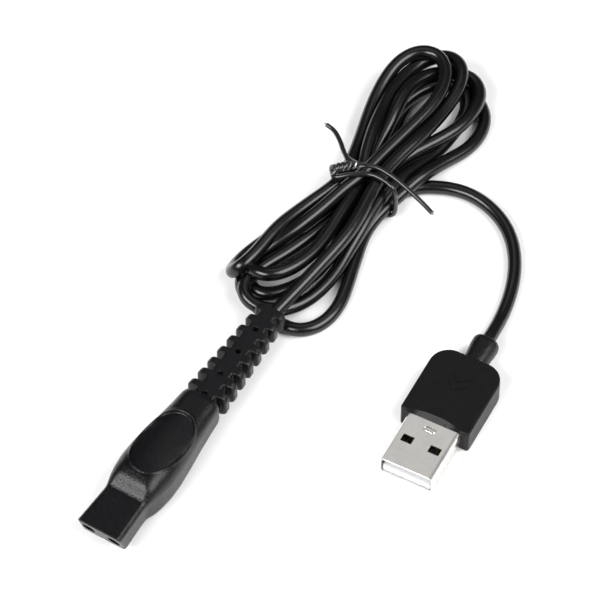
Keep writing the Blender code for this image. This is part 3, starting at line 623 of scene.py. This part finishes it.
def make_finishes():
    """Every material of the lead, by a short name."""
    sparked = {"vary": 0.8, "specular": 0.32, "speckled": True}
    return {
        "cord": make_material(
            "cord_pvc", (0.002, 0.002, 0.0025), 0.25, grain=0.6, bump=0.003, rough_vary=0.03),
        "satin": make_material(
            "satin_spark", (0.002, 0.002, 0.0028), 0.3, grain=0.42, bump=0.09, **sparked),
        "coarse": make_material(
            "satin_spark_coarse", (0.002, 0.002, 0.0028), 0.33, grain=0.42, bump=0.11,
            **sparked),
        "matt": make_material(
            "usb_matt", (0.003, 0.003, 0.0035), 0.38, grain=0.4, bump=0.05, vary=0.5,
            specular=0.2, speckled=True),
        "tie": make_material(
            "tie_pvc", (0.008, 0.008, 0.009), 0.22, coat=0.4, grain=0.3, bump=0.005),
        "nickel": make_material(
            "nickel_brushed", (0.74, 0.72, 0.69), 0.28, metallic=1.0, grain=0.12, bump=0.003,
            vary=0.06, stretch=(1.0, 0.08, 1.0)),
        "white": make_material(
            "white_nylon", (0.60, 0.61, 0.63), 0.35, bump=0.004, vary=0.02),
        # Painted shade: near black, so the tongue's body seen through the shell's windows looks
        # shaded.
        "dark": make_material("painted_shade_nylon", (0.03, 0.028, 0.027), 0.4, bump=0.004),
        "gold": make_material(
            "gold_plate", (0.83, 0.62, 0.28), 0.2, metallic=1.0, vary=0.05, bump=0.002),
        "brass": make_material(
            "turned_brass", (0.70, 0.55, 0.28), 0.25, metallic=1.0, vary=0.08, bump=0.004,
            stretch=(1.0, 6.0, 1.0)),
        "steel": make_material(
            "drawn_steel", (0.5, 0.5, 0.5), 0.3, metallic=1.0, bump=0.003),
        "natural": make_material(
            "natural_polythene", (0.62, 0.60, 0.54), 0.45, vary=0.05),
        "red": make_material("red_pvc", (0.55, 0.02, 0.02), 0.3, vary=0.05),
        "black": make_material("black_pvc", (0.01, 0.01, 0.01), 0.3),
    }


def paint(item, material):
    item.data.materials.clear()
    item.data.materials.append(material)


def place_piece(item, material, slot, *nodes):
    """Finishes a piece: its material, its body and the CAD nodes it stands for. The slot is not
    used.
    """
    paint(item, material)
    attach(item, "root")
    if nodes:
        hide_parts(*nodes)
    return item


# ---- camera, floor and light ----
def make_camera():
    """The camera, on the sight line from its target."""
    data = bpy.data.cameras.new("camera")
    data.lens = CAMERA_LENS
    data.sensor_width = 36.0
    data.clip_end = 10.0
    camera = bpy.data.objects.new("camera", data)
    level = math.cos(CAMERA_ELEVATION)
    back = Vector((
        level * math.sin(CAMERA_AZIMUTH),
        -level * math.cos(CAMERA_AZIMUTH),
        math.sin(CAMERA_ELEVATION),
    ))
    camera.location = CAMERA_TARGET + back * CAMERA_DISTANCE
    camera.rotation_euler = back.to_track_quat("Z", "Y").to_euler()
    bpy.context.scene.collection.objects.link(camera)
    bpy.context.scene.camera = camera


def make_floor():
    size = 3.0
    mesh = bpy.data.meshes.new("floor")
    corners = [(-size, -size, 0), (size, -size, 0), (size, size, 0), (-size, size, 0)]
    mesh.from_pydata(corners, [], [(0, 1, 2, 3)])
    floor = bpy.data.objects.new("floor", mesh)
    bpy.context.scene.collection.objects.link(floor)
    paint(floor, make_material("floor_paint", (0.9, 0.9, 0.9), 0.9, bump=0.0, vary=0.0,
                               rough_vary=0.0, specular=0.0))


def add_light(name, place, size, energy, target=(0.0, 0.045, 0.0)):
    """A rectangular area light that faces the target."""
    data = bpy.data.lights.new(name, "AREA")
    data.shape = "RECTANGLE"
    data.size, data.size_y = size
    data.energy = energy
    light = bpy.data.objects.new(name, data)
    light.location = place
    away = Vector(place) - Vector(target)
    light.rotation_euler = away.to_track_quat("Z", "Y").to_euler()
    bpy.context.scene.collection.objects.link(light)


def make_lights():
    add_light("softbox_front", (-0.23, -0.57, 0.66), (0.80, 0.32), 11.0)
    add_light("softbox_right", (0.59, 0.12, 0.68), (0.75, 0.60), 10.0)
    add_light("panel_plug", (-0.046, 0.17, 0.243), (0.15, 0.15), 0.05, (0.047, 0.02, 0.005))
    world = bpy.data.worlds.new("studio")
    world.use_nodes = True
    background = world.node_tree.nodes["Background"]
    background.inputs["Color"].default_value = (1.0, 1.0, 1.0, 1.0)
    background.inputs["Strength"].default_value = 0.1
    bpy.context.scene.world = world
    bpy.context.scene.view_settings.view_transform = "Standard"


# ---- cord and tie ----
def make_cord(material):
    """The whole cord as one curve, from inside the strain relief to inside the grommet."""
    route = settle(ease(smooth_route(hank_points(), CORD_STEP), 2))
    route = smooth_route(ease(route, 3), CORD_STEP / 2)
    curve = bpy.data.curves.new("lead_cord", "CURVE")
    curve.dimensions = "3D"
    curve.bevel_depth = CORD_DIAMETER / 2 * MM
    curve.bevel_resolution = 6
    curve.use_fill_caps = True
    spline = curve.splines.new("POLY")
    spline.points.add(len(route) - 1)
    for point, place in zip(spline.points, route):
        point.co = (*(Vector(place) * MM), 1.0)
    spline.use_smooth = True
    cord = bpy.data.objects.new("lead_cord", curve)
    bpy.context.scene.collection.objects.link(cord)
    return place_piece(
        cord, material, "cord_black", "cord_trimmer_end", "cord_hank", "cord_usb_end"
    )


def twist_strand(phase):
    """One of the two wires of the twisted pair, from the ring to the tails."""
    axis = TWIST_END - TWIST_START
    across = axis.cross(Vector((0.0, 0.0, 1.0))).normalized()
    upward = across.cross(axis).normalized()
    steps = int(TWIST_TURNS * TWIST_POINTS)
    strand = []
    for k in range(steps + 1):
        angle = phase + 2 * math.pi * TWIST_TURNS * k / steps
        offset = across * math.cos(angle) + upward * math.sin(angle)
        strand.append(tuple(TWIST_START + axis * (k / steps) + offset * TWIST_RADIUS))
    return strand


def tie_route():
    """One wire: left tail, twist, ring round the hank, twist back, right tail."""
    first = twist_strand(math.pi)
    second = twist_strand(0.0)
    ring = smooth_route([first[0], *TIE_RING, second[0]], TIE_STEP)
    left = smooth_route([*TIE_LEFT_TAIL, first[-1]], TIE_STEP)
    right = smooth_route([second[-1], *TIE_RIGHT_TAIL], TIE_STEP)
    return [*left[:-1], *first[::-1], *ring[1:-1], *second, *right[1:]]


def add_tube(name, route, diameter, sides=20):
    """A round bar as a mesh, its rings carried along the route without twisting."""
    points = [Vector(p) for p in route]
    normal = None
    rings = []
    for k, point in enumerate(points):
        ahead = (points[min(k + 1, len(points) - 1)] - points[max(k - 1, 0)]).normalized()
        if normal is None:
            normal = ahead.orthogonal().normalized()
        normal = (normal - ahead * normal.dot(ahead)).normalized()
        side = ahead.cross(normal)
        turns = [2 * math.pi * j / sides for j in range(sides)]
        rings.append([
            tuple(point + (normal * math.cos(a) + side * math.sin(a)) * diameter / 2)
            for a in turns
        ])
    return add_loft(name, rings)


def make_tie(material):
    """The tie's plastic coat, a little shorter than the wire that shows at its ends."""
    route = tie_route()
    tie = add_tube("tie_coat", route[1:-1], TIE_DIAMETER)
    return place_piece(tie, material, "tie_black", "twist_tie_coat")


# ---- trimmer connector ----
def housing_size(y):
    """Half width, half height and corner radius at y, smooth between the stations."""
    ys = [s[0] for s in HOUSING_STATIONS]
    return [float(np.interp(y, ys, [s[k] for s in HOUSING_STATIONS])) for k in (1, 2, 3)]


def housing_sizes():
    """Rings' y with their sizes, blended over a short length so no crease shows."""
    ys = np.arange(MOUTH_Y, HOUSING_END_Y + 1e-6, HOUSING_STEP)
    raw = np.array([housing_size(y) for y in ys])
    padded = np.vstack([raw[:1]] * BLEND_RINGS + [raw] + [raw[-1:]] * BLEND_RINGS)
    kernel = np.hanning(2 * BLEND_RINGS + 3)[1:-1]
    kernel /= kernel.sum()
    soft = np.stack([np.convolve(padded[:, k], kernel, "valid") for k in range(3)], axis=1)
    return ys, soft


def thumb_reach(x, y):
    """1 on the thumb recess's rim, less inside it."""
    reach = abs(x / THUMB_HALF_WIDTH) ** THUMB_SQUARENESS
    reach += abs((y - THUMB_Y) / THUMB_HALF_LENGTH) ** THUMB_SQUARENESS
    return reach ** (1 / THUMB_SQUARENESS)


def shape_thumb(x, y, z, half_height):
    """Sinks a point of the top or bottom to the recess's nearly flat floor, inside a bead."""
    if abs(z) < THUMB_FACE_HEIGHT:
        return x, z
    reach = thumb_reach(x, y)
    inside = 1.0 - smooth_step(1.0 - THUMB_WALL, 1.0, reach)
    floor = half_height - THUMB_DEPTH - THUMB_CROWN * (x / THUMB_HALF_WIDTH) ** 2
    sink = max(THUMB_LEAST_DEPTH, abs(z) - floor) * inside
    bead = max(0.0, 1.0 - abs(reach - BEAD_PLACE) / BEAD_REACH)
    swell = 1.0 + BEAD_HEIGHT * bead * bead * (3 - 2 * bead) / math.hypot(x, z)
    return x * swell, z * swell - math.copysign(sink, z)


def housing_ring(y, half_width, half_height, radius):
    """One ring of the housing, which leans near the mouth."""
    ring = []
    fade = 1.0 - smooth_step(0.0, MOUTH_LEAN_REACH, y - MOUTH_Y)
    for x, z in rounded(half_width, half_height, radius, RING_POINTS):
        lean = fade * (half_height - z) * math.tan(MOUTH_SLANT)
        x, z = shape_thumb(x, y, z, half_height)
        ring.append((x, y + lean, AXIS_Z + z))
    return ring


def housing_rings():
    """The housing's outside, with a small round at the mouth and at the cord end."""
    ys, sizes = housing_sizes()
    rings = [
        housing_ring(MOUTH_Y, *(sizes[0] - MOUTH_INSETS[0])),
        housing_ring(MOUTH_Y + MOUTH_EDGE, *(sizes[0] - MOUTH_INSETS[1])),
    ]
    rings += [housing_ring(y, *size) for y, size in zip(ys[1:-2], sizes[1:-2])]
    rings += [
        housing_ring(y, *(size - inset))
        for y, size, inset in zip(ys[-2:], sizes[-2:], REAR_INSETS)
    ]
    return rings


def notch_rings():
    """The key notch under the mouth, a triangle in section."""
    floor = AXIS_Z - HOUSING_STATIONS[0][2]
    return [
        [(-NOTCH_HALF_WIDTH, y, floor - 0.5), (NOTCH_HALF_WIDTH, y, floor - 0.5),
         (0.0, y, floor + NOTCH_DEPTH)]
        for y in (MOUTH_Y - CUT_OVERRUN, MOUTH_Y + NOTCH_LENGTH)
    ]


def make_housing(material):
    housing = add_loft("connector_housing", housing_rings(), sharp=50.0)
    tools = [
        add_rod(f"bore_{k}", MOUTH_Y - CUT_OVERRUN, CHAMBER_LOW[1] + CUT_OVERRUN, SLEEVE_HOLE,
                (sign * SLEEVE_X, AXIS_Z))
        for k, sign in enumerate((-1, 1))
    ]
    tools.append(add_box("chamber", CHAMBER_LOW, CHAMBER_HIGH))
    tools.append(add_rod("relief_seat", CHAMBER_HIGH[1] - CUT_OVERRUN,
                         HOUSING_END_Y + CUT_OVERRUN, RELIEF_SEAT_DIAMETER, (0.0, AXIS_Z)))
    tools.append(add_loft("notch", notch_rings()))
    combine(housing, tools)
    housing.data.shade_smooth()
    housing.data.set_sharp_from_angle(angle=math.radians(40.0))
    return place_piece(housing, material, "satin_black", "plug_housing")


def relief_share(y):
    """How far y is along the relief, from 0 at the housing to 1 at the tip."""
    return min(1.0, max(0.0, (y - HOUSING_END_Y) / (RELIEF_TIP_Y - HOUSING_END_Y)))


def rib_rings(middle):
    """One rib: a thick plate with rounded edges."""
    low = middle - RIB_THICKNESS / 2
    high = min(middle + RIB_THICKNESS / 2, RELIEF_TIP_Y)
    rings = []
    for k in range(RIB_RINGS + 1):
        y = low + (high - low) * k / RIB_RINGS
        swell = (1.0 - abs(2 * k / RIB_RINGS - 1) ** RIB_SQUARENESS) ** 0.5
        share = relief_share(y)
        inset = RIB_TIP_ROUND * (1.0 - swell)
        half_height = mix(RELIEF_HALF_HEIGHT, share) - RIB_TOP_ROUND * (1.0 - swell)
        rings.append(section(y, mix(RIB_HALF_WIDTH, share) - inset, half_height,
                             half_height * 0.5, count=56))
    return rings


def core_rings():
    """The sleeve between the ribs."""
    start = HOUSING_END_Y + TOUCH_GAP
    rings = []
    for k in range(CORE_RINGS + 1):
        y = start + (RELIEF_TIP_Y - 0.1 - start) * k / CORE_RINGS
        share = relief_share(y)
        rings.append(section(y, mix(CORE_HALF_WIDTH, share),
                             mix(RELIEF_HALF_HEIGHT, share), 0.5, count=56))
    return rings


def sink_vents(mesh):
    """Round blind holes along the middle of the top and the bottom."""
    for vertex in mesh.vertices:
        x, y, z = vertex.co / MM
        for vent in VENT_PLACES:
            surface = mix(RELIEF_HALF_HEIGHT, relief_share(vent)) - VENT_SKIN
            reach = math.hypot(x, y - vent) / (VENT_DIAMETER / 2)
            if reach < VENT_EDGE[1] and abs(z - AXIS_Z) > surface:
                depth = VENT_DEPTH * (1.0 - smooth_step(*VENT_EDGE, reach))
                vertex.co.z -= math.copysign(depth, z - AXIS_Z) * MM


def make_relief(material):
    """Core, ribs and the tang in the housing, melted into one skin by a fine remesh."""
    parts = [core_rings()] + [rib_rings(RIB_FIRST_Y + k * RIB_PITCH) for k in range(RIB_COUNT)]
    start = HOUSING_END_Y + TOUCH_GAP - RELIEF_TANG_LENGTH
    tang_end = start + RELIEF_TANG_LENGTH + RELIEF_TANG_OVERLAP
    parts.append([circle(y, RELIEF_SEAT_DIAMETER - 2 * TOUCH_GAP, count=56)
                  for y in (start, tang_end)])
    vertices, faces = [], []
    for rings in parts:
        more, sides = loft_data(rings)
        faces += [tuple(v + len(vertices) for v in side) for side in sides]
        vertices += more
    relief = add_mesh("strain_relief_ribs", vertices, faces)
    modifier = relief.modifiers.new("melt", "REMESH")
    modifier.mode = "VOXEL"
    modifier.voxel_size = RELIEF_VOXEL * MM
    modifier.use_smooth_shade = True
    smooth = relief.modifiers.new("soften", "SMOOTH")
    smooth.factor = 0.5
    smooth.iterations = 2
    apply_modifiers(relief)
    sink_vents(relief.data)
    combine(relief, [add_rod("cord_bore", start - CUT_OVERRUN, RELIEF_TIP_Y + CUT_OVERRUN,
                             CORD_BORE, (0.0, AXIS_Z))])
    relief.data.shade_smooth()
    relief.data.set_sharp_from_angle(angle=math.radians(60.0))
    return place_piece(relief, material, "satin_black", "strain_relief")


# ---- USB plug ----
PLUG = Matrix.Translation(USB_TIP * MM) @ Matrix.Rotation(USB_TURN, 4, "Z")


def usb_section(y, width, height, radius):
    """A ring round the plug's axis, given by its full width and height."""
    return section(y, width / 2, height / 2, radius, (0.0, USB_AXIS_Z))


def obround(levels):
    """Rings of the pressed mark: straight sides and round ends, at heights on the shell's
    face, each with its inset."""
    face = USB_AXIS_Z + SHELL_HEIGHT / 2
    reach = (DIMPLE_SIZE[0] - DIMPLE_SIZE[1]) / 2
    rings = []
    for height, inset in levels:
        radius = DIMPLE_SIZE[1] / 2 - inset
        ring = []
        for sign, first in ((1, -90.0), (-1, 90.0)):
            for step in range(13):
                angle = math.radians(first + 15.0 * step)
                ring.append((sign * reach + radius * math.cos(angle),
                             DIMPLE_Y + radius * math.sin(angle), face + height))
        rings.append(ring)
    return rings


def window_cutters():
    """Two windows in each flat face of the shell."""
    half_width, half_length = WINDOW_SIZE[0] / 2, WINDOW_SIZE[1] / 2
    tools = []
    for side in (1, -1):
        level = USB_AXIS_Z + side * SHELL_HEIGHT / 2
        for sign in (-1, 1):
            x = sign * WINDOW_CENTRE[0]
            low = (x - half_width, WINDOW_CENTRE[1] - half_length, level - 0.5)
            high = (x + half_width, WINDOW_CENTRE[1] + half_length, level + 0.5)
            tools.append(add_box(f"window_{side}_{sign}", low, high, PLUG))
    return tools


def make_shell(material):
    mouth = (SHELL_WIDTH - 2 * SHELL_LIP, SHELL_HEIGHT - 2 * SHELL_LIP)
    outer = [usb_section(0.0, *mouth, SHELL_RADIUS)]
    outer += [usb_section(y, SHELL_WIDTH, SHELL_HEIGHT, SHELL_RADIUS)
              for y in (SHELL_LIP, SHELL_LENGTH)]
    bore = (SHELL_WIDTH - 2 * SHELL_WALL, SHELL_HEIGHT - 2 * SHELL_WALL)
    inner = [usb_section(y, *bore, SHELL_RADIUS - SHELL_WALL)
             for y in (0.0, SHELL_LIP, SHELL_LENGTH)]
    shell = add_sleeve("plug_shell", outer, inner, PLUG)
    dimple = add_loft("dimple", obround(((-DIMPLE_DEPTH, 0.0), (0.5, 0.0))), PLUG)
    combine(shell, [*window_cutters(), dimple])
    combine(shell, [add_loft("dimple_pad", obround(DIMPLE_PAD), PLUG)], "UNION")
    soften_edges(shell, SHELL_EDGE)
    return place_piece(shell, material, "nickel_shell", "usb_shell")


def make_tongue(tip_material, painted_shade_material):
    """The tongue: a pale tip, and a body coloured near black as painted shade, which shows through
    the shell's windows.
    """
    middle = (0.0, TONGUE_TOP - TONGUE_SIZE[1] / 2)
    half = (TONGUE_SIZE[0] / 2, TONGUE_SIZE[1] / 2)
    start, end = TONGUE_ENDS
    insets = ((start, TONGUE_BEVEL), (start + 0.2, 0.0), (TONGUE_TIP_LENGTH, 0.0))
    tip = [section(y, half[0] - inset, half[1] - inset, TONGUE_RADIUS, middle)
           for y, inset in insets]
    body = [section(y, *half, TONGUE_RADIUS, middle)
            for y in (TONGUE_TIP_LENGTH + TONGUE_JOINT, end)]
    return (
        place_piece(add_loft("plug_tongue_tip", tip, PLUG), tip_material, "white_plastic",
                    "usb_tongue"),
        place_piece(add_loft("plug_tongue_body", body, PLUG), painted_shade_material, None),
    )


def overmould_outline(inset):
    """Plan outline: nearly square corners at the shell end, round ones at the cord end."""
    half = OVERMOULD_WIDTH / 2 - inset
    rear = (OVERMOULD_REAR_Y - inset, OVERMOULD_REAR_RADIUS - inset, 1)
    front = (SHELL_EXPOSED + inset, OVERMOULD_FRONT_RADIUS, -1)
    corners = ((1, *rear), (-1, *rear), (-1, *front), (1, *front))
    outline = []
    for corner, (sign, edge, radius, end) in enumerate(corners):
        for step in range(17):
            angle = math.radians(90.0 * (corner + step / 16))
            x = sign * (half - radius) + radius * math.cos(angle)
            outline.append((x, edge - end * radius + radius * math.sin(angle)))
    return outline


def overmould_levels():
    """Heights with their inset: a quarter round at the bottom and top edges."""
    angles = [math.radians(15.0 * k) for k in range(6, -1, -1)]
    bottom = [(OVERMOULD_EDGE * (1 - math.sin(a)), OVERMOULD_EDGE * (1 - math.cos(a)))
              for a in angles]
    top = [(OVERMOULD_HEIGHT - z, inset) for z, inset in bottom[::-1]]
    return bottom + top


def scoop_rings(side):
    """An arched bevel in the front edge, deepest in the middle."""
    shell_face = USB_AXIS_Z + side * (SHELL_HEIGHT / 2 + SHELL_FIT / 2)
    outer_face = USB_AXIS_Z + side * (OVERMOULD_HEIGHT / 2)
    top = outer_face + side * CUT_OVERRUN
    rings = []
    for k in range(SCOOP_STEPS + 1):
        x = SCOOP_HALF_WIDTH * (2 * k / SCOOP_STEPS - 1)
        depth = SCOOP_DEPTH * (1 - (x / SCOOP_HALF_WIDTH) ** 2) + SCOOP_LEAST_DEPTH
        slope = depth / (outer_face - shell_face)
        rings.append([
            (x, SHELL_EXPOSED - CUT_OVERRUN, shell_face),
            (x, SHELL_EXPOSED, shell_face),
            (x, SHELL_EXPOSED + slope * (top - shell_face), top),
            (x, SHELL_EXPOSED - CUT_OVERRUN, top),
        ])
    return rings


def mark_rings(tip):
    """A raised chevron, its tip at y, that points the way the plug goes in."""
    inner = tip + MARK_RISE
    outer = inner + MARK_ARM
    outline = [(0.0, tip), (MARK_HALF_WIDTH, inner), (MARK_HALF_WIDTH, outer),
               (0.0, tip + MARK_ARM), (-MARK_HALF_WIDTH, outer), (-MARK_HALF_WIDTH, inner)]
    levels = (OVERMOULD_HEIGHT - MARK_ROOT, OVERMOULD_HEIGHT + MARK_HEIGHT)
    return [[(x, y, z) for x, y in outline] for z in levels]


def make_overmould(material):
    rings = [[(x, y, z) for x, y in overmould_outline(inset)]
             for z, inset in overmould_levels()]
    body = add_loft("plug_overmould", rings, PLUG)
    pocket = [usb_section(y, SHELL_WIDTH + SHELL_FIT, SHELL_HEIGHT + SHELL_FIT, SHELL_RADIUS)
              for y in (SHELL_EXPOSED - CUT_OVERRUN, POCKET_END_Y)]
    tools = [add_loft("shell_pocket", pocket, PLUG)]
    tools.append(add_rod("grommet_seat", GROMMET_SEAT_Y, OVERMOULD_REAR_Y + CUT_OVERRUN,
                         GROMMET_TANG + 2 * TOUCH_GAP, (0.0, USB_AXIS_Z), PLUG))
    tools += [add_loft(f"scoop_{side}", scoop_rings(side), PLUG) for side in (1, -1)]
    combine(body, tools)
    marks = [add_loft(f"mark_{k}", mark_rings(MARK_Y + MARK_PITCH * k), PLUG) for k in (0, 1)]
    combine(body, marks, "UNION")
    flatten_shading(body, 18.0)
    return place_piece(body, material, "usb_black", "usb_overmould")


def make_grommet(material):
    centre = (0.0, USB_AXIS_Z)
    start = GROMMET_SECTIONS[0][0]
    outer = [circle(y, GROMMET_TANG, centre) for y in (GROMMET_START_Y, start)]
    outer += [usb_section(*row) for row in GROMMET_SECTIONS]
    inner = [circle(y, CORD_BORE, centre) for y in (GROMMET_START_Y, GROMMET_TIP_Y)]
    grommet = add_sleeve("plug_grommet", outer, inner, PLUG)
    return place_piece(grommet, material, "usb_black", "usb_cord_grommet")


# ---- everything ----
def main():
    make_camera()
    finish = make_finishes()
    cord = make_cord(finish["cord"])
    make_floor()
    make_lights()
    make_housing(finish["satin"])
    make_relief(finish["coarse"])
    shell = make_shell(finish["nickel"])
    tongue = make_tongue(finish["white"], finish["dark"])
    overmould = make_overmould(finish["matt"])
    grommet = make_grommet(finish["coarse"])
    make_tie(finish["tie"])
    for name, short_name in CAD_FINISHES.items():
        paint(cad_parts[name], finish[short_name])


main()
